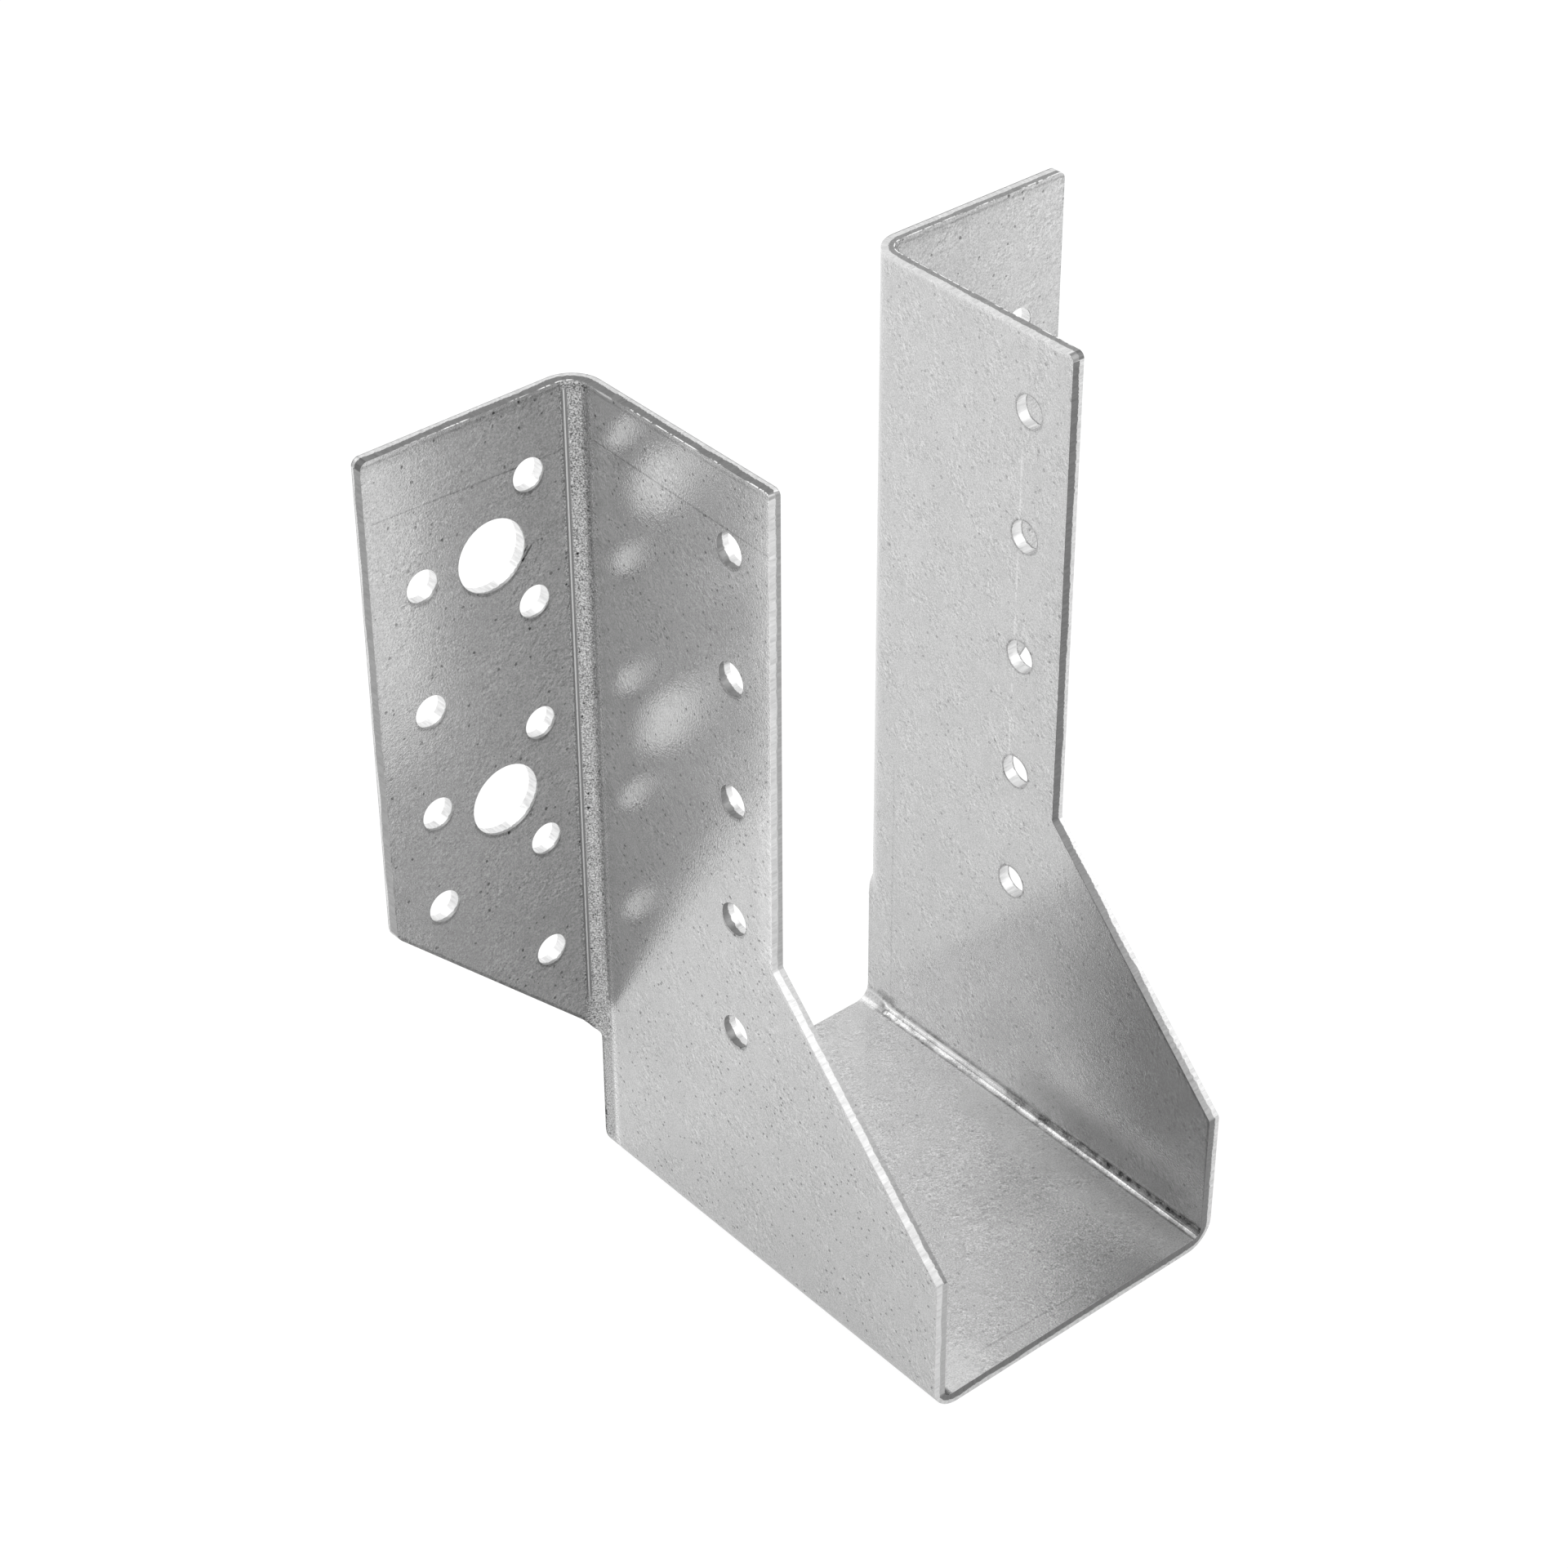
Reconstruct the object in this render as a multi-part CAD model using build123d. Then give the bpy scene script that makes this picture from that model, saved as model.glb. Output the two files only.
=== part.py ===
from build123d import *
import math
import os

# A joist hanger folded from one galvanised steel sheet, for the end of a 50 mm joist.
# Millimetres, +Z up, origin at the middle of the base. The joist lies along Y in the
# pocket and leaves towards -Y. The flanges' rear faces, on +Y, go against the beam.

# Sheet and the inside radii of its folds
sheet = 2.0
seat_bend = 2.5
flange_bend = 3.0

# Folded form
pocket_width = 51.0      # between the plates: the joist and 1 mm of room
height = 135.0           # seat's underside to the top
depth = 76.0             # flanges' rear faces to the seat's front edge
flange_reach = 34.5      # each flange stands out this far from its plate's outer face
upper_depth = 41.5       # plates' depth above the slanted cut, from the flanges' rear faces
cut_top = 58.5           # the slanted cuts of plates and flanges start at this height
cut_foot = 24.0          # and end at this one
back_step = 2.2          # seat and lower plates stop this far short of the flanges' rear faces

# Rounded corners of the blank
plate_corner = 1.0       # plates' upper front corner
notch_corner = 0.8       # inner corner where the slanted cut starts
foot_corner = 1.0        # where the slanted cut meets the front edge
flange_top_corner = 1.2
flange_low_corner = 2.5
relief_radius = 3.0      # inner corner between a flange and the plate below it

# Nail holes down each plate, into the joist
nail_hole = 5.0
rows = 5
first_row = 12.0         # below the top
row_pitch = 20.0
plate_column = 8.0       # behind the plate's upper front edge

# Nail and bolt holes in each flange, into the beam
inner_column = 8.2       # beyond the plate's outer face, on the same rows as the plate's holes
outer_column = 8.3       # in from the flange's outer end
outer_rows = (22.0, 42.0, 59.0, 75.0)
bolt_hole = 11.0
bolt_column = 14.8       # beyond the plate's outer face
bolt_rows = (22.0, 62.0)

# The short length where each flange's fold runs out into the flat plate below
run_out_sections = 8
fully_bent = 0.6         # share of that length by which the sheet has the fold's full bend
margin = 5.0             # by which cutting shapes pass the sheet

# Places that follow from the sizes
pocket_half = pocket_width / 2
plate_face = pocket_half + sheet
flange_end = plate_face + flange_reach
rear = depth / 2
front = -depth / 2
upper_front = rear - upper_depth
lower_rear = rear - back_step
fold_line = rear - sheet - flange_bend
fold_end = plate_face + flange_bend
cut_slope = (cut_top - cut_foot) / flange_reach
run_out_top = cut_foot + cut_slope * flange_bend


def outline(*points):
    return make_face(Polyline(*points, close=True))


def rounded(face, corners):
    """The face with the corner at each x, y rounded by its own radius."""
    for x, y, radius in corners:
        corner = face.vertices().sort_by_distance((x, y, 0))[0]
        face = fillet(corner, radius)
    return face


def facing_rear(y):
    """A plane across the hanger, seen from behind it with +Z up, whose normal runs forward."""
    return Plane(origin=(0, y, 0), x_dir=(1, 0, 0), z_dir=(0, -1, 0))


# The blank's edge beside the fold, at the relief: straight up the plate's rear edge,
# round the relief radius, then out along the flange's slanted edge.
flat_length = lower_rear - fold_line
fold_length = math.pi / 2 * (flange_bend + sheet / 2)
relief_turn = math.atan(1 / cut_slope)
relief_rise = relief_radius * math.sin(relief_turn)
relief_reach = relief_radius * (1 - math.cos(relief_turn))
relief_start = run_out_top - cut_slope * (fold_length - flat_length - relief_reach) - relief_rise


def sheet_beyond_fold_line(z):
    """How far the sheet reaches past the fold line, measured along it, at a height in the run-out."""
    rise = z - relief_start
    if rise < relief_rise:
        return flat_length + relief_radius - math.sqrt(relief_radius ** 2 - rise ** 2)
    return fold_length - (run_out_top - z) / cut_slope


def channel():
    """Seat and both plates, folded up from the sheet and cut back at the front."""
    outside = rounded(
        Pos(0, height / 2) * Rectangle(2 * plate_face, height),
        [(-plate_face, 0, seat_bend + sheet), (plate_face, 0, seat_bend + sheet)],
    )
    inside = rounded(
        Pos(0, sheet + height / 2) * Rectangle(pocket_width, height),
        [(-pocket_half, sheet, seat_bend), (pocket_half, sheet, seat_bend)],
    )
    folded = extrude(facing_rear(lower_rear) * (outside - inside), lower_rear - front)
    side = rounded(
        outline(
            (lower_rear, 0),
            (front, 0),
            (front, cut_foot),
            (upper_front, cut_top),
            (upper_front, height),
            (fold_line, height),
            (fold_line, relief_start),
            (lower_rear, relief_start),
        ),
        [
            (front, cut_foot, foot_corner),
            (upper_front, cut_top, notch_corner),
            (upper_front, height, plate_corner),
        ],
    )
    return folded & extrude(Plane.YZ * side, plate_face, both=True)


def flange():
    """Right flange with its fold, above the run-out."""
    outside = rounded(
        outline((pocket_half, fold_line), (flange_end, fold_line), (flange_end, rear), (pocket_half, rear)),
        [(pocket_half, rear, flange_bend + sheet)],
    )
    inside = rounded(
        outline(
            (plate_face, fold_line - margin),
            (flange_end + margin, fold_line - margin),
            (flange_end + margin, rear - sheet),
            (plate_face, rear - sheet),
        ),
        [(plate_face, rear - sheet, flange_bend)],
    )
    folded = extrude(Pos(0, 0, run_out_top) * (outside - inside), height - run_out_top)
    face = rounded(
        outline(
            (0, run_out_top),
            (fold_end, run_out_top),
            (flange_end, cut_top),
            (flange_end, height),
            (0, height),
        ),
        [(flange_end, cut_top, flange_low_corner), (flange_end, height, flange_top_corner)],
    )
    return folded & extrude(facing_rear(rear) * face, rear - fold_line)


def bent_section(z, length, angle):
    """Section of the sheet past the fold line at one height, its middle turned through an angle."""
    if angle == 0:
        flat = outline(
            (pocket_half, fold_line),
            (pocket_half, fold_line + length),
            (plate_face, fold_line + length),
            (plate_face, fold_line),
        )
        return Pos(0, 0, z) * flat
    radius = length / angle
    centre = pocket_half + sheet / 2 + radius
    convex = radius + sheet / 2
    concave = radius - sheet / 2

    def at(r, turned):
        return (centre - r * math.cos(turned), fold_line + r * math.sin(turned))

    bent = make_face([
        ThreePointArc(at(convex, 0), at(convex, angle / 2), at(convex, angle)),
        Line(at(convex, angle), at(concave, angle)),
        ThreePointArc(at(concave, angle), at(concave, angle / 2), at(concave, 0)),
        Line(at(concave, 0), at(convex, 0)),
    ])
    return Pos(0, 0, z) * bent


def run_out():
    """Lower end of the right fold: the sheet goes from flat to fully bent as its edge turns out."""
    sections = []
    for i in range(run_out_sections):
        share = i / (run_out_sections - 1)
        z = relief_start + share * (run_out_top - relief_start)
        length = sheet_beyond_fold_line(z)
        ease = min(share / fully_bent, 1)
        bent = ease * ease * (3 - 2 * ease)
        sections.append(bent_section(z, length, bent * length / (flange_bend + sheet / 2)))
    return loft(sections)


def flange_punches():
    """Punches through the right flange: two columns for nails, and two bolt holes between them."""
    columns = [(plate_face + inner_column, first_row + i * row_pitch, nail_hole) for i in range(rows)]
    columns += [(flange_end - outer_column, drop, nail_hole) for drop in outer_rows]
    columns += [(plate_face + bolt_column, drop, bolt_hole) for drop in bolt_rows]
    return [
        Pos(x, rear - sheet / 2, height - drop) * Rot(90, 0, 0) * Cylinder(diameter / 2, sheet + margin)
        for x, drop, diameter in columns
    ]


def plate_punches():
    """Nail punches through both plates at once, on shared axes across the pocket."""
    across = Rot(0, 90, 0) * Cylinder(nail_hole / 2, 2 * plate_face + margin)
    return [
        Pos(0, upper_front + plate_column, height - first_row - i * row_pitch) * across
        for i in range(rows)
    ]


def joist_hanger():
    right = flange() + run_out()
    for punch in flange_punches():
        right -= punch
    folded = channel() + right + mirror(right, Plane.YZ)
    for punch in plate_punches():
        folded -= punch
    return folded


os.makedirs("parts", exist_ok=True)
hanger = joist_hanger()
hanger.label = "joist_hanger"
export_step(hanger, "parts/joist_hanger.step")
print("joist_hanger", len(hanger.solids()), "solid,", round(hanger.volume), "mm3")
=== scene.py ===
import math
import bmesh
import bpy
from mathutils import Matrix, Vector


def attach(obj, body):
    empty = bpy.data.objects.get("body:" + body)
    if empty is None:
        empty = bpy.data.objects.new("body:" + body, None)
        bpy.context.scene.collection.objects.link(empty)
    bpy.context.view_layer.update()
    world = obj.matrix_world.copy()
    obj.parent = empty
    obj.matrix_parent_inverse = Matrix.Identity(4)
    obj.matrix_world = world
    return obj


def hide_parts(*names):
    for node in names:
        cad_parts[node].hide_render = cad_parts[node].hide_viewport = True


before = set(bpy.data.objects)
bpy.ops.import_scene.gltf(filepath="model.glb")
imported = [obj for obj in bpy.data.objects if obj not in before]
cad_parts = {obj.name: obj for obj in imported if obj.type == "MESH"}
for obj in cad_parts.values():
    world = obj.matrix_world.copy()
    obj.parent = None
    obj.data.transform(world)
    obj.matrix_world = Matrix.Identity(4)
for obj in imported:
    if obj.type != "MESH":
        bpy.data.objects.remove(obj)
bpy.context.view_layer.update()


# The hanger is one strip of 2 mm sheet, hot-dip galvanised as a coil, then punched, cropped
# to length and folded in a press. Its zinc skins keep a fine relief, its folds the press
# tool's line, and its cut edges are bare steel, smeared bright on one side and torn dark.
mm = 0.001
sheet = 2.0 * mm
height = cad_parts["joist_hanger"].dimensions.z
plate_face = 27.5 * mm
pocket_half = plate_face - sheet
flange_face = 36.0 * mm
flange_end = 62.0 * mm
upper_front = -3.5 * mm
front = -38.0 * mm
slant_top = 58.0 * mm        # above this the plates' front edges are upright
fold_radius = 3.0 * mm
close = 0.1 * mm             # how near to an edge's plane a point counts as on it
rim_width = 0.9 * mm         # the skin is drawn down this far in from a cut
rim_round = 0.07 * mm
score_share = 0.15           # scores on a cut edge run through the sheet, stretched by this
sharp_turn = math.radians(35)
hole_span = 19.2 * mm        # a hole's wall spans less than this from corner to corner
on_skin, on_edge, on_wall = range(3)    # slots of the zinc, the blank's edges and holes' walls


def smooth_region(faces, start, facing):
    """Faces joined to the one nearest a point, and facing one way there, without a sharp edge."""
    towards = [face for face in faces if face.normal.dot(facing) > 0.9]
    first = min(towards, key=lambda face: (face.calc_center_median() - start).length)
    region = {first}
    waiting = [first]
    while waiting:
        for edge in waiting.pop().edges:
            if edge.calc_face_angle(0) < sharp_turn:
                for face in edge.link_faces:
                    if face not in region:
                        region.add(face)
                        waiting.append(face)
    return region


def joined_groups(faces):
    """The faces in groups that share edges."""
    left = set(faces)
    groups = []
    while left:
        group = [left.pop()]
        for face in group:
            for edge in face.edges:
                for neighbour in edge.link_faces:
                    if neighbour in left:
                        left.remove(neighbour)
                        group.append(neighbour)
        groups.append(group)
    return groups


hanger_mesh = bmesh.new()
hanger_mesh.from_mesh(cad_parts["joist_hanger"].data)
bmesh.ops.remove_doubles(hanger_mesh, verts=hanger_mesh.verts, dist=0.002 * mm)

# The press pinches the seat's folds tighter inside than the sheet's own bend, except in their
# last few millimetres at the rear. Loops are cut where the pinch begins.
seat_bend = 2.5 * mm
pinched_bend = 1.3 * mm
pinch_start = 32.6 * mm
pinch_full = 30.6 * mm
pinch_steps = 4
bend_x = pocket_half - seat_bend
bend_z = sheet + seat_bend
slack = 0.01 * mm


def in_seat_fold(face):
    """Whether a face is on the inside of one of the seat's two folds."""
    outs = [abs(vert.co.x) - bend_x for vert in face.verts]
    downs = [bend_z - vert.co.z for vert in face.verts]
    on_one_side = len({vert.co.x > 0 for vert in face.verts}) == 1
    return on_one_side and all(-slack < part < seat_bend + slack for part in outs + downs)


for i in range(pinch_steps + 1):
    fold_faces = [face for face in hanger_mesh.faces if in_seat_fold(face)]
    fold_edges = {edge for face in fold_faces for edge in face.edges}
    fold_verts = {vert for face in fold_faces for vert in face.verts}
    cut_y = pinch_full + (pinch_start - pinch_full) * i / pinch_steps
    bmesh.ops.bisect_plane(
        hanger_mesh, geom=fold_faces + list(fold_edges) + list(fold_verts), dist=0.001 * mm,
        plane_co=(0, cut_y, 0), plane_no=(0, 1, 0),
    )

outer_skin = smooth_region(hanger_mesh.faces, Vector((0, 0, 0)), Vector((0, 0, -1)))
inner_skin = smooth_region(hanger_mesh.faces, Vector((0, 0, sheet)), Vector((0, 0, 1)))

for vert in {vert for face in inner_skin for vert in face.verts}:
    out = abs(vert.co.x) - bend_x
    down = bend_z - vert.co.z
    if out > -slack and down > -slack:
        share = min(max((pinch_start - vert.co.y) / (pinch_start - pinch_full), 0.0), 1.0)
        bend = seat_bend + (pinched_bend - seat_bend) * share * share * (3 - 2 * share)
        vert.co.x = math.copysign(bend_x + seat_bend - bend + out * bend / seat_bend, vert.co.x)
        vert.co.z = bend_z - (seat_bend - bend) - down * bend / seat_bend

# Cut faces are sorted into the blank's edges and the walls of the punched holes
skins = outer_skin | inner_skin
cut_groups = joined_groups(face for face in hanger_mesh.faces if face not in skins)
hole_centres = []
for group in cut_groups:
    corners = [vert.co for face in group for vert in face.verts]
    low = Vector([min(parts) for parts in zip(*corners)])
    high = Vector([max(parts) for parts in zip(*corners)])
    punched = (high - low).length < hole_span
    if punched:
        hole_centres.append((low + high) / 2)
    for face in group:
        face.material_index = on_wall if punched else on_edge

# Each kind of cut edge: whether its bright part is on the inner skin's side, the bright share
# of its depth, and how light its bright and torn parts are
edge_looks = {
    "left top": (True, 0.38, 0.72, 0.21),
    "right top": (True, 0.5, 0.72, 0.3),
    # The left flange's top corner has low tones, painted shade that mutes the bright reflection of its round
    "left flange's top corner": (True, 0.34, 0.5, 0.13),
    "left plate's top corner": (False, 0.58, 0.42, 0.3),
    "right plate's top corner": (True, 0.5, 0.3, 0.18),
    "upper flange end": (True, 0.25, 0.72, 0.28),
    "lower flange end": (True, 0.25, 0.72, 0.36),
    "rear or flange slant": (False, 0.6, 0.62, 0.3),
    "left upper front, high": (False, 0.56, 0.66, 0.33),
    "left upper front, low": (False, 0.56, 0.66, 0.46),
    "right upper front": (False, 0.34, 0.66, 0.18),
    "left slant": (False, 0.66, 0.54, 0.2),
    "right slant": (False, 0.5, 0.54, 0.3),
    "left lower front": (False, 0.5, 0.64, 0.43),
    "right lower front": (False, 0.42, 0.64, 0.2),
    "seat's front": (False, 0.42, 0.62, 0.18),
}


def edge_kind(place):
    """The kind of cut edge at a point."""
    x, y, z = place
    down = height - z
    side = "left" if x < 0 else "right"
    flange_corner = 1.1 * mm     # the corners' rounds end this far down
    plate_corner = 0.9 * mm
    along = 0.05 * mm            # and this much further along the top
    top_edge = 0.3 * mm
    upper_half = 100 * mm        # starts here on the flanges' ends and the upper front edges
    seat_edge = 3 * mm           # the seat's front edge turns up to here
    if x < flange_corner + along - flange_end and down < flange_corner:
        return "left flange's top corner"
    if 0 < x < flange_end / 2 and y < upper_front + plate_corner + along and down < plate_corner:
        return "right plate's top corner"
    if down < top_edge:
        return side + " top"
    if down < plate_corner:
        return "left plate's top corner" if x < 0 else "right top"
    if abs(x) > flange_end - close:
        return "upper flange end" if z > upper_half else "lower flange end"
    if y > upper_front + close:
        return "rear or flange slant"
    if z > slant_top:
        if x < 0:
            return "left upper front, high" if z > upper_half else "left upper front, low"
        return "right upper front"
    if y > front + close:
        return side + " slant"
    return side + " lower front" if z > seat_edge else "seat's front"


def wall_look(place):
    """The look of a punched hole's wall. Its bright part narrows towards the bottom of the hole
    in the flanges, and towards the bottom and the rear in the left plate."""
    centre = min(hole_centres, key=lambda hole: (hole - place).length)
    aside = (place - centre).normalized()
    if abs(place.x) > plate_face + fold_radius:
        return (True, 0.9 - 0.16 * max(-aside.z, 0.0), 0.82, 0.34)
    if place.x < 0:
        return (True, 0.7 - 0.2 * max(aside.y - aside.z, 0.0), 0.8, 0.26)
    return (True, 0.88, 0.75, 0.3)


# What the materials read from the mesh: how far a point is through the sheet, 0 on the outer
# skin and 1 on the inner one; on a cut, how far past its bright part, its two tones, and a place
# for the scores that run across it; and how much painted shade and highlight the skin takes near a cut.
through = hanger_mesh.verts.layers.float.new("through")
dark_rim = hanger_mesh.verts.layers.float.new("dark_rim")
pale_rim = hanger_mesh.verts.layers.float.new("pale_rim")
past_bright = hanger_mesh.verts.layers.float.new("past_bright")
bright_tone = hanger_mesh.verts.layers.float.new("bright_tone")
torn_tone = hanger_mesh.verts.layers.float.new("torn_tone")
score = hanger_mesh.verts.layers.float_vector.new("score")
for face in inner_skin:
    for vert in face.verts:
        vert[through] = 1.0
for vert in hanger_mesh.verts:
    skin_faces = [face for face in vert.link_faces if face in skins]
    if 0 < len(skin_faces) < len(vert.link_faces):
        across = sum((face.normal for face in skin_faces), Vector()).normalized()
        vert[score] = vert.co - across * sheet / 2 * (1 - score_share)
        punched = any(face.material_index == on_wall for face in vert.link_faces)
        look = wall_look(vert.co) if punched else edge_looks[edge_kind(vert.co)]
        inner_bright, share, bright, torn = look
        vert[past_bright] = (1 - vert[through] if inner_bright else vert[through]) - share
        vert[bright_tone] = bright
        vert[torn_tone] = torn

# The skins get rim strips round every cut, for the painted shade and highlight of the skin drawn
# down there, except in the short length where a fold runs out
run_out_low = Vector((25.0, 33.0, 21.5)) * mm
run_out_high = Vector((31.5, 38.5, 27.5)) * mm


def in_run_out(face):
    """Whether a face is in the short length where a flange's fold runs out, on either side."""
    place = face.calc_center_median()
    place.x = abs(place.x)
    return all(low < part < high for low, part, high in zip(run_out_low, place, run_out_high))


strips = []
for skin in (outer_skin, inner_skin):
    made = bmesh.ops.inset_region(
        hanger_mesh, faces=[face for face in skin if not in_run_out(face)], thickness=rim_width,
        use_boundary=True, use_even_offset=False,
    )
    strips += made["faces"]
for face in strips:
    face.material_index = on_skin


def painted_rim_levels(vert, beside):
    """Painted shade and painted highlight of the skin's rim at a point of a cut, by the cut beside it."""
    x, y, z = vert.co
    outer = vert[through] < 0.5
    corner_reach = 1.3 * mm
    if beside == on_wall:
        centre = min(hole_centres, key=lambda place: (place - vert.co).length)
        # On the outer skin a hole's rim takes more painted shade towards the hole's bottom, for the drawn-in
        # dish
        lower = (centre.z - z) / (vert.co - centre).length
        return (max(0.3 + 0.7 * lower, 0.0), 0.0) if outer else (0.65, 0.0)
    if z > height - close:
        return (0.0, 0.3) if outer else (0.0, 0.8)
    if not outer and y > flange_face - 0.3 * mm:
        return (0.1, 0.0)
    if abs(x) > flange_end - close:
        return (0.45, 0.0)
    if z > height - corner_reach and abs(x) > flange_end - corner_reach:
        return (0.1, 0.1)
    if y > flange_face - 0.3 * mm:
        return (0.9, 0.0)
    if z > slant_top:
        return (0.0, 0.8) if outer else (0.4, 0.0)
    if outer:
        return (0.1, 0.2)
    return (0.8, 0.0) if z > 5 * mm else (0.4, 0.0)


cuts = []
for edge in hanger_mesh.edges:
    beside = max(face.material_index for face in edge.link_faces)
    if beside > on_skin and min(face.material_index for face in edge.link_faces) == on_skin:
        cuts.append(edge)
        for vert in edge.verts:
            dark, pale = painted_rim_levels(vert, beside)
            vert[dark_rim] = max(vert[dark_rim], dark)
            vert[pale_rim] = max(vert[pale_rim], pale)

bmesh.ops.bevel(
    hanger_mesh, geom=cuts, offset=rim_round, offset_type="OFFSET", segments=2, profile=0.5,
    affect="EDGES", clamp_overlap=True, material=-1,
)

# Flat faces keep their plane's own normal at every corner, so that they mirror without fault.
# Folds, rounds and walls take theirs from the flats beside them, or else from each other.
flat_match = 0.9999          # cosine within which a face is flat, in one of these directions
near_match = 0.8             # and within which a corner takes a normal from beside it
flat_directions = [Vector(way).normalized() for way in (
    (1, 0, 0), (-1, 0, 0), (0, 1, 0), (0, -1, 0), (0, 0, 1), (0, 0, -1),
    (0, -1, 1), (1, 0, -1), (-1, 0, -1),
)]


def flat_direction(face):
    """The way a face looks, if it is flat and not part of a fold, a round or a hole's wall."""
    if face.material_index == on_wall:
        return None
    nearest = max(flat_directions, key=face.normal.dot)
    return nearest if nearest.dot(face.normal) > flat_match else None


def corner_normal(face, vert):
    """The normal of one corner of a face."""
    if flat_ways[face] is not None:
        return flat_ways[face]
    beside = [flat_ways[other] for other in vert.link_faces if flat_ways[other] is not None]
    beside = [way for way in beside if way.dot(face.normal) > near_match]
    if beside:
        return max(beside, key=face.normal.dot)
    curved = [other for other in vert.link_faces if other.normal.dot(face.normal) > near_match]
    return sum((other.normal * other.calc_area() for other in curved), Vector()).normalized()


flat_ways = {face: flat_direction(face) for face in hanger_mesh.faces}
corner_normals = []
for face in hanger_mesh.faces:
    face.smooth = True
    for vert in face.verts:
        corner_normals.append(corner_normal(face, vert))

hanger_data = bpy.data.meshes.new("hanger")
hanger_mesh.to_mesh(hanger_data)
hanger_mesh.free()
hanger_data.normals_split_custom_set(corner_normals)
hanger = bpy.data.objects.new("hanger", hanger_data)
bpy.context.scene.collection.objects.link(hanger)


def put(tree, socket, value):
    """Feeds a socket with another socket's value, or with a constant of its own."""
    if isinstance(value, bpy.types.NodeSocket):
        tree.links.new(value, socket)
    else:
        socket.default_value = value


def maths(tree, operation, *values):
    node = tree.nodes.new("ShaderNodeMath")
    node.operation = operation
    for socket, value in zip(node.inputs, values):
        put(tree, socket, value)
    return node.outputs[0]


def product(tree, *values):
    """All the values multiplied together."""
    result = values[0]
    for value in values[1:]:
        result = maths(tree, "MULTIPLY", result, value)
    return result


def lifted(tree, tone, mask, amount):
    """A tone with an amount added where the mask is 1."""
    return maths(tree, "ADD", tone, maths(tree, "MULTIPLY", mask, amount))


def scaled(tree, tone, mask, amount):
    """A tone with a share of itself added where the mask is 1."""
    return maths(tree, "MULTIPLY", tone, lifted(tree, 1.0, mask, amount))


def replaced(tree, tone, mask, other):
    """A tone that turns into another where the mask is 1."""
    return lifted(tree, tone, mask, maths(tree, "SUBTRACT", other, tone))


def vector_maths(tree, operation, *values):
    node = tree.nodes.new("ShaderNodeVectorMath")
    node.operation = operation
    for socket, value in zip(node.inputs, values):
        put(tree, socket, value)
    return node.outputs["Value"] if operation in ("DOT_PRODUCT", "LENGTH") else node.outputs["Vector"]


def length(tree, x, y, z=0.0):
    """The length of a vector with the given parts."""
    node = tree.nodes.new("ShaderNodeCombineXYZ")
    for socket, part in zip(node.inputs, (x, y, z)):
        put(tree, socket, part)
    return vector_maths(tree, "LENGTH", node.outputs[0])


def ramp(tree, value, low, high, to_low=0.0, to_high=1.0):
    """A value that goes smoothly from one level to another as its input passes a range."""
    node = tree.nodes.new("ShaderNodeMapRange")
    node.interpolation_type = "SMOOTHSTEP"
    names = ("Value", "From Min", "From Max", "To Min", "To Max")
    for name, part in zip(names, (value, low, high, to_low, to_high)):
        put(tree, node.inputs[name], part)
    return node.outputs["Result"]


def band(tree, value, middle, reach, core):
    """A mask that is 1 within a core distance of a middle value, and 0 beyond a reach."""
    gap = maths(tree, "ABSOLUTE", maths(tree, "SUBTRACT", value, middle))
    return ramp(tree, gap, reach, core)


def noise(tree, place, size, detail=2.0):
    """Noise about 0.5 with features of a size."""
    node = tree.nodes.new("ShaderNodeTexNoise")
    node.inputs["Scale"].default_value = 1 / size
    node.inputs["Detail"].default_value = detail
    node.inputs["Roughness"].default_value = 0.6
    tree.links.new(place, node.inputs["Vector"])
    return node.outputs["Fac"]


def swing(tree, place, size, detail, amount):
    """Noise about 0, of an amount."""
    return maths(tree, "MULTIPLY", maths(tree, "SUBTRACT", noise(tree, place, size, detail), 0.5), amount)


def attribute(tree, name, output="Fac"):
    node = tree.nodes.new("ShaderNodeAttribute")
    node.attribute_name = name
    return node.outputs[output]


def object_place(tree):
    return tree.nodes.new("ShaderNodeTexCoord").outputs["Object"]


def grey(tree, value):
    node = tree.nodes.new("ShaderNodeCombineColor")
    for channel in ("Red", "Green", "Blue"):
        tree.links.new(value, node.inputs[channel])
    return node.outputs["Color"]


def new_group(name, inputs, outputs):
    """A shader group with sockets of the given names and kinds."""
    group = bpy.data.node_groups.new(name, "ShaderNodeTree")
    for socket, kind in inputs:
        group.interface.new_socket(socket, in_out="INPUT", socket_type="NodeSocket" + kind)
    for socket, kind in outputs:
        group.interface.new_socket(socket, in_out="OUTPUT", socket_type="NodeSocket" + kind)
    return group, group.nodes.new("NodeGroupOutput")


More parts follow.
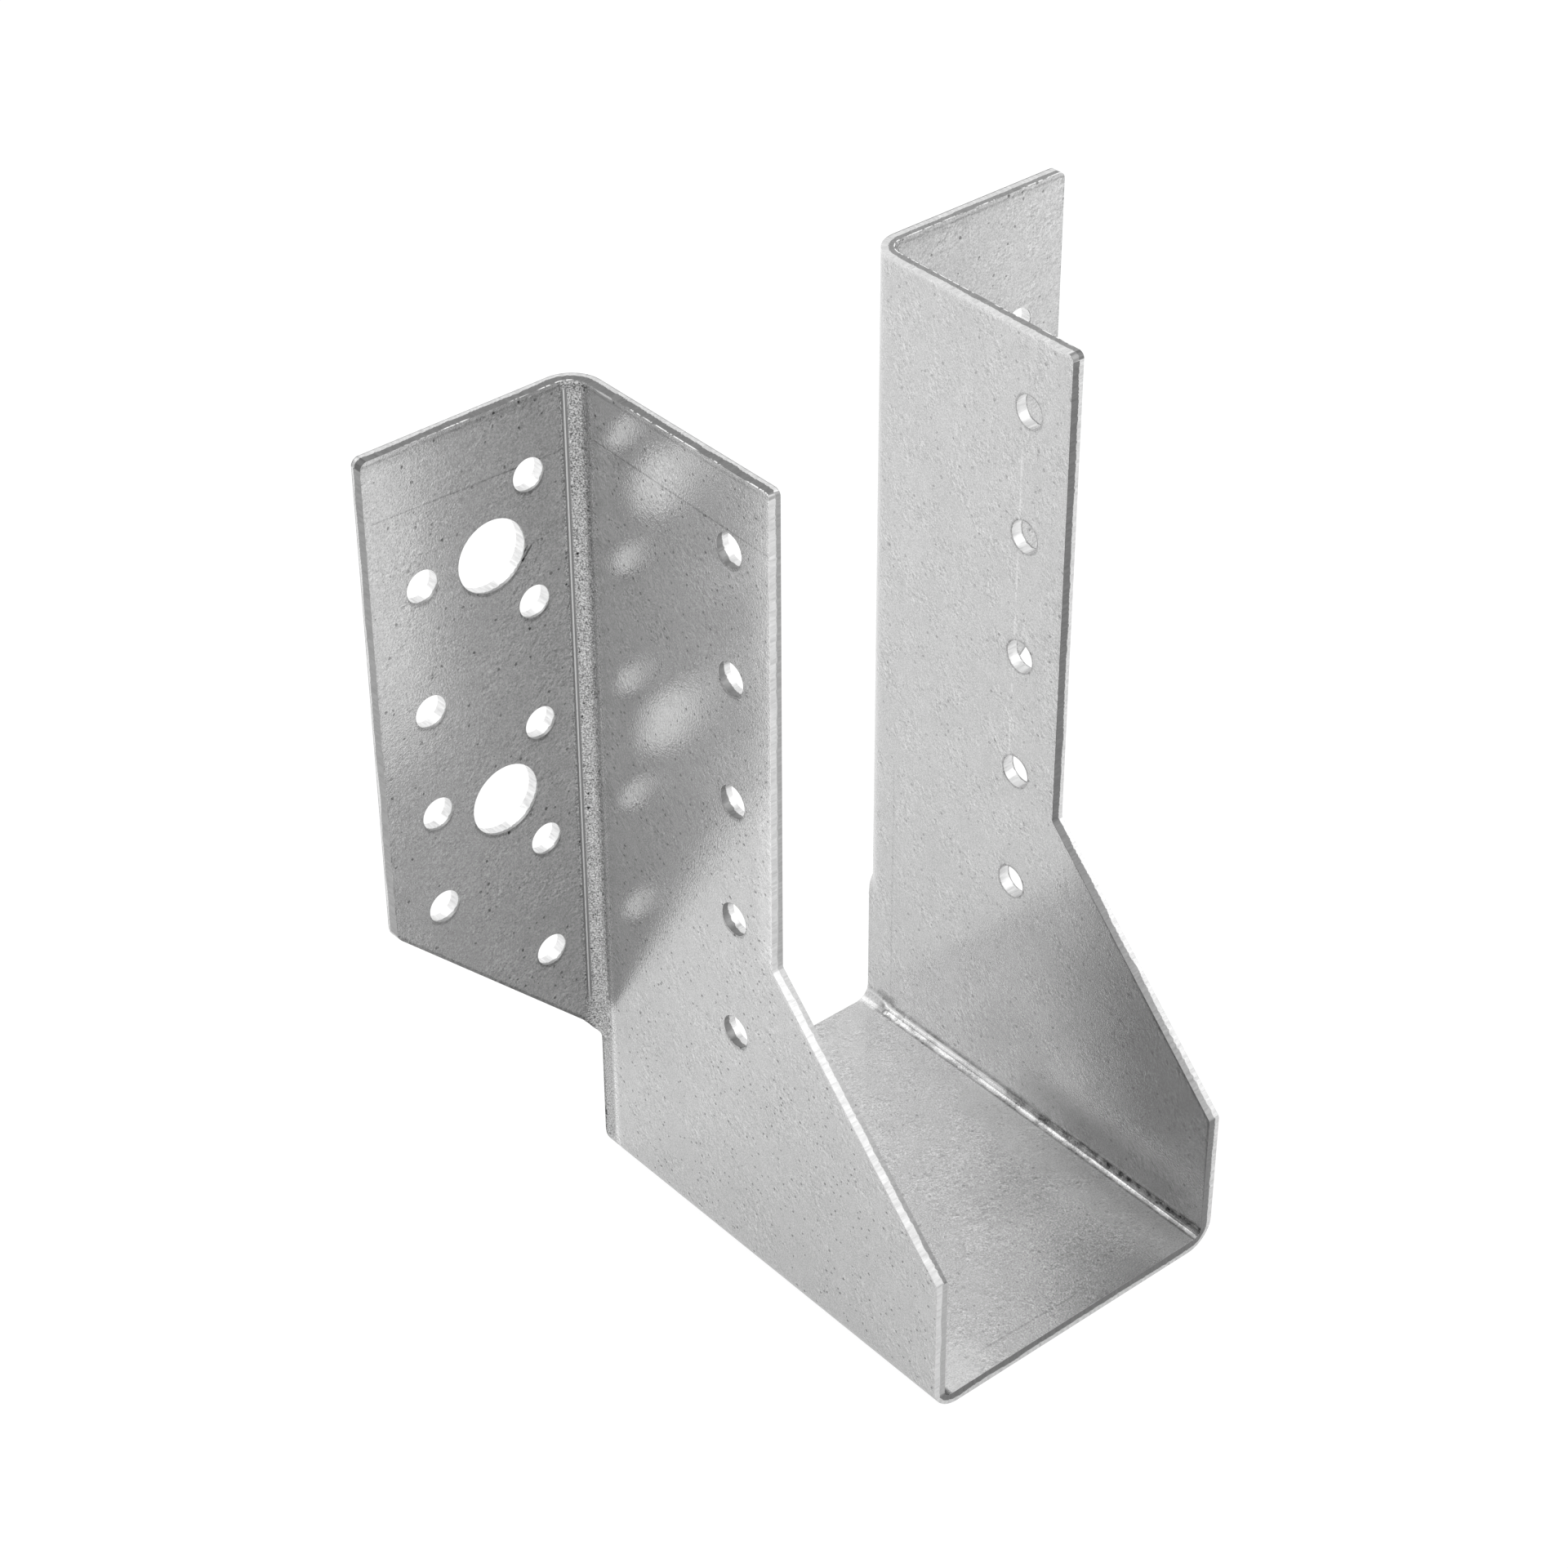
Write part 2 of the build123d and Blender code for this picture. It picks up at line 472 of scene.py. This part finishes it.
def zinc_grain():
    """Shader group: the zinc skin's curdled relief and streaks as painted light and shade on their
    flanks, and its blots, broad mottle and dark specks.
    """
    names = ("Height", "Painted_relief_and_blots", "Fine", "Mottle", "Specks")
    group, out = new_group("zinc_grain", [], [(name, "Float") for name in names])
    place = object_place(group)
    lit_side = vector_maths(group, "ADD", place, (-0.06 * mm, -0.05 * mm, 0.09 * mm))

    def shaded_relief(first, second, size, detail):
        """Painted light and shade on the flanks of a relief, from its heights a little apart."""
        heights = [noise(group, point, size, detail) for point in (first, second)]
        return maths(group, "SUBTRACT", *heights)

    curdle = shaded_relief(place, lit_side, 0.75 * mm, 2.0)
    streak_turn = (math.radians(35), math.radians(45), math.radians(-45))
    streak_stretch = (4.5, 1, 1)
    streak_frames = []
    for point in (place, lit_side):
        along = group.nodes.new("ShaderNodeMapping")
        along.vector_type = "TEXTURE"
        along.inputs["Rotation"].default_value = streak_turn
        along.inputs["Scale"].default_value = streak_stretch
        group.links.new(point, along.inputs["Vector"])
        streak_frames.append(along.outputs["Vector"])
    streaks = shaded_relief(streak_frames[0], streak_frames[1], 0.6 * mm, 1.0)
    # The relief's painted light and shade, stronger in patches, with random blots of tone
    relief = lifted(group, product(group, curdle, 0.75), streaks, 0.38)
    patches = ramp(group, noise(group, place, 5 * mm, 2.0), 0.35, 0.65, 0.2, 1.4)
    blots = swing(group, place, 1.6 * mm, 4.0, 0.12)
    relief = maths(group, "ADD", product(group, relief, patches), blots)
    group.links.new(relief, out.inputs["Painted_relief_and_blots"])
    group.links.new(swing(group, place, 0.22 * mm, 1.0, 1.0), out.inputs["Fine"])
    group.links.new(noise(group, place, 0.34 * mm, 2.0), out.inputs["Height"])
    group.links.new(noise(group, place, 8 * mm, 4.0), out.inputs["Mottle"])

    # Specks are the hearts of bent cells, each of a size that its cell draws
    speck_spacing = 1.35 * mm
    speck_bend = 0.35 * mm
    largest_speck = 0.22
    bent = group.nodes.new("ShaderNodeTexNoise")
    bent.inputs["Scale"].default_value = 1 / (0.5 * mm)
    group.links.new(place, bent.inputs["Vector"])
    bend = vector_maths(group, "MULTIPLY", bent.outputs["Color"], (speck_bend, speck_bend, speck_bend))
    cells = group.nodes.new("ShaderNodeTexVoronoi")
    cells.inputs["Scale"].default_value = 1 / speck_spacing
    group.links.new(vector_maths(group, "ADD", place, bend), cells.inputs["Vector"])
    draw = group.nodes.new("ShaderNodeSeparateColor")
    group.links.new(cells.outputs["Color"], draw.inputs["Color"])
    size = ramp(group, draw.outputs["Red"], 0.25, 1.0, 0.0, largest_speck)
    edge = maths(group, "SUBTRACT", size, cells.outputs["Distance"])
    group.links.new(ramp(group, edge, 0.0, 0.05), out.inputs["Specks"])
    return group


def surface_line():
    """Shader group: a mask for a thin straight mark between two points, with breaks in it."""
    group, out = new_group(
        "surface_line",
        [("Start", "Vector"), ("End", "Vector"), ("Width", "Float"), ("Breaks", "Float")],
        [("Mask", "Float")],
    )
    given = group.nodes.new("NodeGroupInput")
    place = object_place(group)
    reach = vector_maths(group, "SUBTRACT", given.outputs["End"], given.outputs["Start"])
    offset = vector_maths(group, "SUBTRACT", place, given.outputs["Start"])
    share = maths(
        group, "DIVIDE", vector_maths(group, "DOT_PRODUCT", offset, reach),
        vector_maths(group, "DOT_PRODUCT", reach, reach),
    )
    held = maths(group, "MINIMUM", maths(group, "MAXIMUM", share, 0.0), 1.0)
    nearest = group.nodes.new("ShaderNodeVectorMath")
    nearest.operation = "SCALE"
    group.links.new(reach, nearest.inputs[0])
    group.links.new(held, nearest.inputs["Scale"])
    gap = vector_maths(group, "LENGTH", vector_maths(group, "SUBTRACT", offset, nearest.outputs[0]))
    wander = swing(group, place, 3 * mm, 2.0, 0.3 * mm)
    off_line = maths(group, "ABSOLUTE", maths(group, "ADD", gap, wander))
    near = maths(group, "DIVIDE", off_line, given.outputs["Width"])
    whole = ramp(
        group, noise(group, place, 2.2 * mm, 3.0),
        maths(group, "SUBTRACT", given.outputs["Breaks"], 0.08), given.outputs["Breaks"],
    )
    group.links.new(product(group, ramp(group, near, 1.0, 0.4), whole), out.inputs["Mask"])
    return group


def torn_depth():
    """Shader group: a ragged measure across a cut, to add to its depth, and the scores."""
    group, out = new_group("torn_depth", [], [("Ragged", "Float"), ("Scores", "Float")])
    place = attribute(group, "score", "Vector")
    scores = noise(group, place, 0.4 * mm, 3.0)
    group.links.new(scores, out.inputs["Scores"])
    ragged = product(group, maths(group, "SUBTRACT", scores, 0.5), 0.35)
    wavy = swing(group, place, 6 * mm, 4.0, 0.4)
    group.links.new(maths(group, "ADD", ragged, wavy), out.inputs["Ragged"])
    return group


grain_group = zinc_grain()
line_group = surface_line()
torn_group = torn_depth()


def metal_material(name, roughness):
    material = bpy.data.materials.new(name)
    material.use_nodes = True
    shader = material.node_tree.nodes["Principled BSDF"]
    shader.inputs["Metallic"].default_value = 1.0
    shader.inputs["Roughness"].default_value = roughness
    return material, material.node_tree, shader


def used(tree, group):
    node = tree.nodes.new("ShaderNodeGroup")
    node.node_tree = group
    return node


class SkinPlace:
    """The point that a material colours. right is how far it is to the right of the middle,
    and x how far out on either side. inner is 1 on the pocket's side of the sheet, and outer
    is 1 on the other."""

    def __init__(self, tree):
        self.point = object_place(tree)
        parts = tree.nodes.new("ShaderNodeSeparateXYZ")
        tree.links.new(self.point, parts.inputs[0])
        self.right = parts.outputs["X"]
        self.x = maths(tree, "ABSOLUTE", self.right)
        self.y = parts.outputs["Y"]
        self.z = parts.outputs["Z"]
        self.inner = attribute(tree, "through")
        self.outer = maths(tree, "SUBTRACT", 1.0, self.inner)


def distance_from(tree, at, x, y, z):
    """How far the coloured point is from another place on the hanger."""
    parts = ((at.right, x), (at.y, y), (at.z, z))
    return length(tree, *[maths(tree, "SUBTRACT", part, place) for part, place in parts])


def flange_corner(tree, at):
    """Masks: painted shade that deepens towards the corner between a flange and its plate and lies a
    little over the flanges, the fold's hollow rubbed by the tool, and painted light on the plate beside it."""
    out = maths(tree, "SUBTRACT", at.x, plate_face)
    back = maths(tree, "SUBTRACT", at.y, flange_face)
    # Painted shade, deepest near the corner between a flange and its plate, and a little over the flanges
    from_corner = length(tree, out, product(tree, back, 1.25))
    painted_corner_shade = product(tree, ramp(tree, from_corner, 34 * mm, 5 * mm), at.outer)
    painted_corner_shade = product(tree, painted_corner_shade, ramp(tree, at.z, 14 * mm, 30 * mm))
    painted_corner_shade = product(tree, painted_corner_shade, ramp(tree, at.x, 28 * mm, 31 * mm, 0.7, 1.0))
    on_flange = product(tree, ramp(tree, at.x, 30 * mm, 31 * mm, 0.0, 0.1), at.outer)
    painted_corner_shade = maths(tree, "ADD", painted_corner_shade, on_flange)
    into_fold = length(tree, out, back)
    rubbed = product(tree, ramp(tree, into_fold, 3.2 * mm, 2.2 * mm), at.outer)
    # Painted light on the plate just beside the flange's fold
    beside = product(
        tree, ramp(tree, into_fold, 4.2 * mm, 3.1 * mm), ramp(tree, into_fold, 2.5 * mm, 3.1 * mm),
        ramp(tree, at.x, 29.0 * mm, 28.4 * mm), at.outer,
    )
    return painted_corner_shade, rubbed, beside


def grained(tree, at, grain, painted_corner_shade, rubbed, painted_light_beside_fold, pressed):
    """The zinc's tone with its relief as painted light and shade, its specks, painted corner shade
    and painted light beside the fold. Rubbed zinc has less relief and more sparkle.
    """
    tone = ramp(tree, grain.outputs["Mottle"], 0.25, 0.75, 0.555, 0.585)
    # Painted shade towards the corner between a flange and its plate
    tone = scaled(tree, tone, painted_corner_shade, -0.145)
    tone = scaled(tree, tone, rubbed, ramp(tree, at.z, 80 * mm, 130 * mm, -0.23, -0.3))
    tone = scaled(tree, tone, pressed, -0.2)
    # Painted light on the plate beside the fold
    tone = scaled(tree, tone, painted_light_beside_fold, 0.22)
    # Painted light and shade of the relief, with random blots
    tone = lifted(tree, tone, grain.outputs["Painted_relief_and_blots"], lifted(tree, 1.0, rubbed, -0.55))
    sparkle = lifted(tree, 0.45, maths(tree, "ADD", rubbed, painted_light_beside_fold), 0.85)
    tone = lifted(tree, tone, grain.outputs["Fine"], sparkle)
    return lifted(tree, tone, grain.outputs["Specks"], lifted(tree, -0.27, at.inner, 0.12))


def painted_shade_and_pale_strip(tree, at, grain, tone):
    """Inside the pocket the seat and the right plate take patches of painted shade, and outside the
    seat's folds take a little painted shade. A pale strip runs along the plates' upper front edges."""
    # Patches of painted shade inside the pocket
    foot = distance_from(tree, at, pocket_half, -16 * mm, 29 * mm)
    middle = distance_from(tree, at, pocket_half, 2 * mm, 11 * mm)
    on_seat = distance_from(tree, at, 12 * mm, -13 * mm, sheet)
    cloud = lifted(tree, on_seat, grain.outputs["Mottle"], 8 * mm)
    pocket_painted_shade = product(tree, ramp(tree, foot, 18 * mm, 5 * mm), 0.17)
    pocket_painted_shade = lifted(tree, pocket_painted_shade, ramp(tree, middle, 13 * mm, 4 * mm), 0.1)
    pocket_painted_shade = lifted(tree, pocket_painted_shade, ramp(tree, cloud, 17 * mm, 6 * mm), 0.12)
    tone = scaled(tree, tone, product(tree, pocket_painted_shade, at.inner), -1.0)
    # Painted shade outside along the seat's folds
    under = product(tree, ramp(tree, at.z, 4.5 * mm, 1.5 * mm), ramp(tree, at.x, 24 * mm, 26 * mm), at.outer)
    tone = lifted(tree, tone, under, -0.05)
    front_gap = maths(tree, "SUBTRACT", at.y, upper_front)
    strip = product(
        tree, ramp(tree, front_gap, 4.5 * mm, 1.0 * mm), ramp(tree, at.z, slant_top, 60 * mm), at.outer,
        ramp(tree, noise(tree, at.point, 1.5 * mm, 3.0), 0.3, 0.6, 0.3, 1.0),
    )
    return lifted(tree, tone, strip, 0.09)


def painted_rims_and_crop_line(tree, at, tone):
    """Near a cut the skin is drawn down by the tool; its dark rims are painted shade and its pale rims
    a painted highlight. A ragged line runs below the top edges, where the crop's blade drew it."""
    ragged = swing(tree, at.point, 1.4 * mm, 4.0, 0.5)
    rim = attribute(tree, "dark_rim")
    # Dark rims are painted shade and pale rims a painted highlight of the drawn-down skin
    dark = product(
        tree, ramp(tree, maths(tree, "ADD", rim, ragged), 0.35, 0.5), ramp(tree, rim, 0.1, 0.3),
    )
    tone = lifted(tree, tone, dark, -0.14)
    tone = lifted(tree, tone, rim, -0.06)
    tone = lifted(tree, tone, ramp(tree, attribute(tree, "pale_rim"), 0.0, 0.8), 0.12)
    top_gap = lifted(tree, maths(tree, "SUBTRACT", height, at.z), ragged, 0.9 * mm)
    line = product(tree, band(tree, top_gap, 0.72 * mm, 0.3 * mm, 0.1 * mm), at.outer)
    tone = lifted(tree, tone, line, -0.1)
    on_flange = ramp(tree, at.x, 30 * mm, 31 * mm)
    drawn = product(tree, ramp(tree, top_gap, 2.0 * mm, 1.4 * mm), on_flange, at.outer)
    return lifted(tree, tone, drawn, -0.05)


def tool_line(tree, at, tone):
    """The press tool's line in the hollow of each flange's fold, painted in as a ridge: its dark
    flanks are painted shade and its bright crest a painted highlight.
    """
    line_x = 29.47 * mm
    in_hollow = product(
        tree, at.outer, ramp(tree, at.y, 34.9 * mm, 35.1 * mm), ramp(tree, at.z, 29 * mm, 33 * mm),
        ramp(tree, at.z, height - 1.0 * mm, height - 1.5 * mm),
    )
    groove = product(tree, band(tree, at.x, line_x, 0.46 * mm, 0.3 * mm), in_hollow)
    # The groove's dark flanks are painted shade and the crest a painted highlight
    crest = product(tree, band(tree, at.x, line_x, 0.14 * mm, 0.07 * mm), in_hollow)
    tone = replaced(tree, tone, groove, 0.2)
    return replaced(tree, tone, crest, 0.55)


def pressed_folds(tree, at, tone, into_fold, pressed):
    """The seat's folds inside, pressed smooth, with dark beads towards the front, pale ones at
    the rear, and a dark line where the seat meets them."""
    beads = ramp(tree, noise(tree, at.point, 1.5 * mm, 2.0), 0.45, 0.55)
    plate_side = ramp(tree, at.z, 2.35 * mm, 2.5 * mm)
    darker = product(tree, beads, ramp(tree, at.y, 2 * mm, -10 * mm), plate_side, pressed)
    tone = lifted(tree, tone, darker, -0.2)
    lighter = product(tree, ramp(tree, at.y, -4 * mm, 12 * mm), plate_side, pressed)
    tone = lifted(tree, tone, lighter, 0.25)
    fold_line = product(
        tree, band(tree, into_fold, 1.35 * mm, 0.25 * mm, 0.1 * mm), at.inner,
        ramp(tree, at.z, 2.3 * mm, 2.15 * mm),
    )
    tone = lifted(tree, tone, fold_line, -0.18)
    paler = product(tree, beads, ramp(tree, at.y, 24 * mm, 32 * mm), pressed)
    tone = lifted(tree, tone, paler, 0.25)
    stretched = vector_maths(tree, "MULTIPLY", at.point, (1, 0.5, 1))
    gaps = product(tree, ramp(tree, noise(tree, stretched, 1.3 * mm, 1.0), 0.42, 0.62), pressed)
    return lifted(tree, tone, gaps, -0.17)


def painted_light_beside_seat_folds(tree, at, tone, seat_side):
    """Painted light and shade beside the seat's folds: just above them the plates take a painted
    highlight, strongest at the rear, then painted shade towards the front, and the seat takes painted light
    there."""
    on_plate = product(tree, ramp(tree, at.x, 25.2 * mm, 25.4 * mm), at.inner)
    # Painted highlight on the plates just above the folds, stronger at the rear
    above = product(
        tree, ramp(tree, at.z, 2.5 * mm, 2.9 * mm), ramp(tree, at.z, 3.9 * mm, 3.15 * mm), on_plate,
    )
    tone = scaled(tree, tone, above, ramp(tree, at.y, -20 * mm, 26 * mm, 0.0, 0.65))
    # Painted shade on the plates above the folds, towards the front
    hollow = product(
        tree, ramp(tree, at.z, 3.4 * mm, 4.2 * mm), ramp(tree, at.z, 14 * mm, 6.5 * mm),
        ramp(tree, at.y, 4 * mm, -14 * mm), ramp(tree, at.y, -52 * mm, -28 * mm), on_plate,
    )
    tone = scaled(tree, tone, hollow, -0.5)
    # Painted light on the seat's front beside the fold
    seat_front = product(
        tree, ramp(tree, at.y, 10 * mm, -33 * mm), ramp(tree, at.x, 12 * mm, 22 * mm),
        ramp(tree, at.z, 2.2 * mm, sheet), at.inner,
    )
    painted_seat_light = lifted(tree, product(tree, seat_front, 0.2), seat_side, 0.08)
    return scaled(tree, tone, painted_seat_light, 1.0)


def marked(tree, tone):
    """The layout lines, scratches and smears on the zinc."""
    marks = (
        # Name, start, end and width in millimetres, breaks, change of tone
        ("flange layout line", (-61.0, 36.0, 125.5), (-30.5, 36.0, 124.6), 0.17, 0.37, -0.14),
        ("fold layout line", (-30.5, 36.0, 124.7), (-28.4, 35.1, 125.7), 0.18, 0.31, -0.16),
        ("fold layout line beside the plate", (-28.4, 35.1, 125.7), (-27.5, 33.0, 126.7), 0.18, 0.31, -0.16),
        ("plate layout line", (-27.5, 33.0, 126.8), (-27.5, -3.5, 125.7), 0.18, 0.3, -0.16),
        ("plate scratch", (25.5, 5.4, 127.0), (25.5, 6.0, 54.0), 0.30, 0.56, 0.10),
        ("plate line", (25.5, 30.4, 50.0), (25.5, 30.4, 6.0), 0.25, 0.45, -0.05),
        ("seat scratch", (-15.1, -34.4, 2.0), (2.4, -35.0, 2.0), 0.20, 0.42, -0.12),
        ("bright scratch", (-27.7, 33.8, 134.8), (-27.5, 28.2, 134.85), 0.24, 0.20, 0.45),
        ("smear beside the bolt hole", (-35.8, 36.0, 112.0), (-37.3, 36.0, 110.3), 0.26, 0.1, -0.3),
        ("second smear beside the bolt hole", (-36.4, 36.0, 112.2), (-37.4, 36.0, 111.1), 0.2, 0.1, -0.25),
        ("dark nick", (-27.5, 35.8, 8.4), (-27.5, 35.4, 7.6), 0.40, 0.30, -0.3),
    )
    for name, start, end, width, breaks, change in marks:
        mark = used(tree, line_group)
        mark.label = name
        mark.inputs["Start"].default_value = Vector(start) * mm
        mark.inputs["End"].default_value = Vector(end) * mm
        mark.inputs["Width"].default_value = width * mm
        mark.inputs["Breaks"].default_value = breaks
        tone = lifted(tree, tone, mark.outputs["Mask"], change)
    return tone


def zinc_skin():
    """The zinc on both sides of the sheet."""
    roughness = 0.15
    material, tree, shader = metal_material("zinc_skin", roughness)
    grain = used(tree, grain_group)
    at = SkinPlace(tree)
    painted_corner_shade, rubbed, painted_light_beside_fold = flange_corner(tree, at)

    # The distance from the corner between the seat and a plate, and masks near that corner
    into_fold = length(
        tree, maths(tree, "SUBTRACT", at.x, pocket_half), maths(tree, "SUBTRACT", at.z, sheet),
    )
    pressed = product(
        tree, ramp(tree, into_fold, 1.5 * mm, 1.1 * mm), at.inner, ramp(tree, at.y, 32 * mm, 31 * mm),
    )
    rear_end = product(
        tree, ramp(tree, at.y, 30.8 * mm, 32.2 * mm), ramp(tree, into_fold, 2.6 * mm, 2.0 * mm), at.inner,
    )
    seat_side = product(
        tree, ramp(tree, at.z, 2.2 * mm, 2.05 * mm), at.inner, ramp(tree, at.x, 14 * mm, 21 * mm),
        ramp(tree, at.y, 18 * mm, 0.0),
    )

    tone = grained(tree, at, grain, painted_corner_shade, rubbed, painted_light_beside_fold, pressed)
    tone = painted_shade_and_pale_strip(tree, at, grain, tone)
    tone = painted_rims_and_crop_line(tree, at, tone)
    tone = tool_line(tree, at, tone)
    tone = pressed_folds(tree, at, tone, into_fold, pressed)
    tone = painted_light_beside_seat_folds(tree, at, tone, seat_side)
    tone = marked(tree, tone)
    tree.links.new(grey(tree, tone), shader.inputs["Base Color"])

    # Pressed zinc is smoother, and rubbed zinc rougher
    rough = lifted(tree, roughness, pressed, ramp(tree, at.y, -4 * mm, 10 * mm, -0.09, -0.02))
    rough = lifted(tree, rough, rear_end, 0.2)
    rough = lifted(tree, rough, seat_side, 0.24)
    tree.links.new(lifted(tree, rough, rubbed, 0.1), shader.inputs["Roughness"])
    bump = tree.nodes.new("ShaderNodeBump")
    bump.inputs["Distance"].default_value = 0.032 * mm
    strength = product(tree, lifted(tree, 1.0, at.inner, -0.5), ramp(tree, pressed, 0.0, 1.0, 1.0, 0.2))
    tree.links.new(strength, bump.inputs["Strength"])
    tree.links.new(grain.outputs["Height"], bump.inputs["Height"])
    tree.links.new(bump.outputs["Normal"], shader.inputs["Normal"])
    return material


def sheared_edge():
    """A cut edge, smeared bright over part of its depth and torn over the rest."""
    material, tree, shader = metal_material("sheared_edge", 0.38)
    cut = used(tree, torn_group)
    at = SkinPlace(tree)
    past = maths(tree, "ADD", attribute(tree, "past_bright"), cut.outputs["Ragged"])
    torn = ramp(tree, past, -0.03, 0.03)
    tone = replaced(tree, attribute(tree, "bright_tone"), torn, attribute(tree, "torn_tone"))

    # Bright burrs hang over the cropped edges' outer rim
    cropped = ramp(tree, at.z, height - 0.3 * mm, height - 0.2 * mm)
    burr = product(
        tree, ramp(tree, noise(tree, at.point, 9.0 * mm, 1.0), 0.47, 0.52),
        ramp(tree, noise(tree, at.point, 0.9 * mm, 2.0), 0.42, 0.5),
        ramp(tree, at.inner, 0.12, 0.07), cropped,
    )
    tone = lifted(tree, tone, burr, 0.8)

    # The rim by the inner skin is darker on the flanges and the left plate: at their top, at
    # the flanges' ends and round the corner between
    end_gap = maths(tree, "SUBTRACT", flange_end, at.x)
    at_end = ramp(tree, end_gap, 0.3 * mm, 0.2 * mm)
    at_corner = product(
        tree, ramp(tree, at.z, height - 1.3 * mm, height - 1.2 * mm),
        ramp(tree, end_gap, 1.3 * mm, 1.2 * mm),
    )
    outlined = maths(tree, "MAXIMUM", maths(tree, "MAXIMUM", cropped, at_end), at_corner)
    far_rim = product(tree, ramp(tree, at.inner, 0.86, 0.93), outlined)
    left_tone = ramp(tree, at.right, 0.0, -1 * mm, 0.0, 0.22)
    right_tone = ramp(tree, at.right, 28 * mm, 31 * mm, 0.0, 0.4)
    far_tone = maths(tree, "ADD", left_tone, right_tone)
    tone = maths(tree, "SUBTRACT", tone, product(tree, far_rim, far_tone))

    tone = scaled(tree, tone, maths(tree, "SUBTRACT", cut.outputs["Scores"], 0.5), 0.9)
    tree.links.new(grey(tree, tone), shader.inputs["Base Color"])
    bump = tree.nodes.new("ShaderNodeBump")
    bump.inputs["Strength"].default_value = 1.0
    bump.inputs["Distance"].default_value = 0.04 * mm
    tree.links.new(cut.outputs["Scores"], bump.inputs["Height"])
    tree.links.new(bump.outputs["Normal"], shader.inputs["Normal"])
    return material


# Walls of holes and the blank's edges share one material, in two slots
edge_steel = sheared_edge()
for material in (zinc_skin(), edge_steel, edge_steel):
    hanger_data.materials.append(material)
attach(hanger, "root")
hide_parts("joist_hanger")


# The floor is a plain pale sweep that the hanger stands on. It shows white to the camera
# and in the metal, and keeps a little of its own shade, so the hanger has a soft shadow.
floor_size = 6.0
floor_grey = (0.9, 0.9, 0.9, 1)
glow_strength = 1.06
glow_seen = 0.9              # share of the glow that the camera sees
glow_mirrored = 0.35         # and that the metal mirrors
floor_mesh = bmesh.new()
bmesh.ops.create_grid(floor_mesh, x_segments=1, y_segments=1, size=floor_size / 2)
floor_data = bpy.data.meshes.new("floor")
floor_mesh.to_mesh(floor_data)
floor_mesh.free()
floor = bpy.data.objects.new("floor", floor_data)
bpy.context.scene.collection.objects.link(floor)
floor_material = bpy.data.materials.new("pale_floor")
floor_material.use_nodes = True
floor_tree = floor_material.node_tree
floor_tree.nodes.remove(floor_tree.nodes["Principled BSDF"])
matt = floor_tree.nodes.new("ShaderNodeBsdfDiffuse")
matt.inputs["Color"].default_value = floor_grey
glow = floor_tree.nodes.new("ShaderNodeEmission")
glow.inputs["Strength"].default_value = glow_strength
floor_ray = floor_tree.nodes.new("ShaderNodeLightPath")
seen = maths(floor_tree, "MULTIPLY", floor_ray.outputs["Is Camera Ray"], glow_seen)
mirrored = maths(floor_tree, "MULTIPLY", floor_ray.outputs["Is Glossy Ray"], glow_mirrored)
mix = floor_tree.nodes.new("ShaderNodeMixShader")
floor_tree.links.new(maths(floor_tree, "MAXIMUM", seen, mirrored), mix.inputs["Fac"])
floor_tree.links.new(matt.outputs[0], mix.inputs[1])
floor_tree.links.new(glow.outputs[0], mix.inputs[2])
floor_tree.links.new(mix.outputs[0], floor_tree.nodes["Material Output"].inputs["Surface"])
floor_data.materials.append(floor_material)


# Studio light: white all round, and two large soft lamps. The slanted front edges mirror the
# one in front on the right, and the pocket mirrors the one behind on the left.
light_level = 1.08           # of the white that lights the scene
seen_level = 1.0             # and of the white that the camera and the metal see
world = bpy.data.worlds.new("white_studio")
bpy.context.scene.world = world
world.use_nodes = True
world_tree = world.node_tree
background = world_tree.nodes["Background"]
background.inputs["Color"].default_value = (1, 1, 1, 1)
world_ray = world_tree.nodes.new("ShaderNodeLightPath")
shown = maths(world_tree, "MAXIMUM", world_ray.outputs["Is Camera Ray"], world_ray.outputs["Is Glossy Ray"])
level = world_tree.nodes.new("ShaderNodeMapRange")
level.inputs["To Min"].default_value = light_level
level.inputs["To Max"].default_value = seen_level
world_tree.links.new(shown, level.inputs["Value"])
world_tree.links.new(level.outputs["Result"], background.inputs["Strength"])


def soft_lamp(name, direction, distance, size, radiance):
    """A square lamp that faces the hanger, as bright all over as the radiance given."""
    data = bpy.data.lights.new(name, "AREA")
    data.shape = "SQUARE"
    data.size = size
    data.energy = radiance * math.pi * size ** 2
    lamp = bpy.data.objects.new(name, data)
    lamp.visible_camera = False
    bpy.context.scene.collection.objects.link(lamp)
    towards = Vector(direction).normalized()
    place = Vector((0, 0, 0.05)) + distance * towards
    lamp.matrix_world = Matrix.Translation(place) @ towards.to_track_quat("Z", "Y").to_matrix().to_4x4()


soft_lamp("front_lamp", (0.52, -0.59, 0.62), 1.3, 0.9, 0.9)
soft_lamp("back_lamp", (-0.253, 0.706, 0.656), 1.5, 0.9, 1.1)


# The camera looks down on the hanger's front left, from the photograph's place.
camera_data = bpy.data.cameras.new("camera")
camera_data.sensor_fit = "HORIZONTAL"
camera_data.sensor_width = 36.0
camera_data.lens = 88.098
camera_data.clip_start = 0.01
camera = bpy.data.objects.new("camera", camera_data)
bpy.context.scene.collection.objects.link(camera)
camera_place = (-0.29157, -0.31644, 0.38774)
azimuth = math.radians(40.404)
elevation = math.radians(35.993)
roll = math.radians(-0.2575)
camera.matrix_world = (
    Matrix.Translation(camera_place)
    @ Matrix.Rotation(-azimuth, 4, "Z")
    @ Matrix.Rotation(math.pi / 2 - elevation, 4, "X")
    @ Matrix.Rotation(roll, 4, "Z")
)
bpy.context.scene.camera = camera
bpy.context.scene.view_settings.view_transform = "Standard"
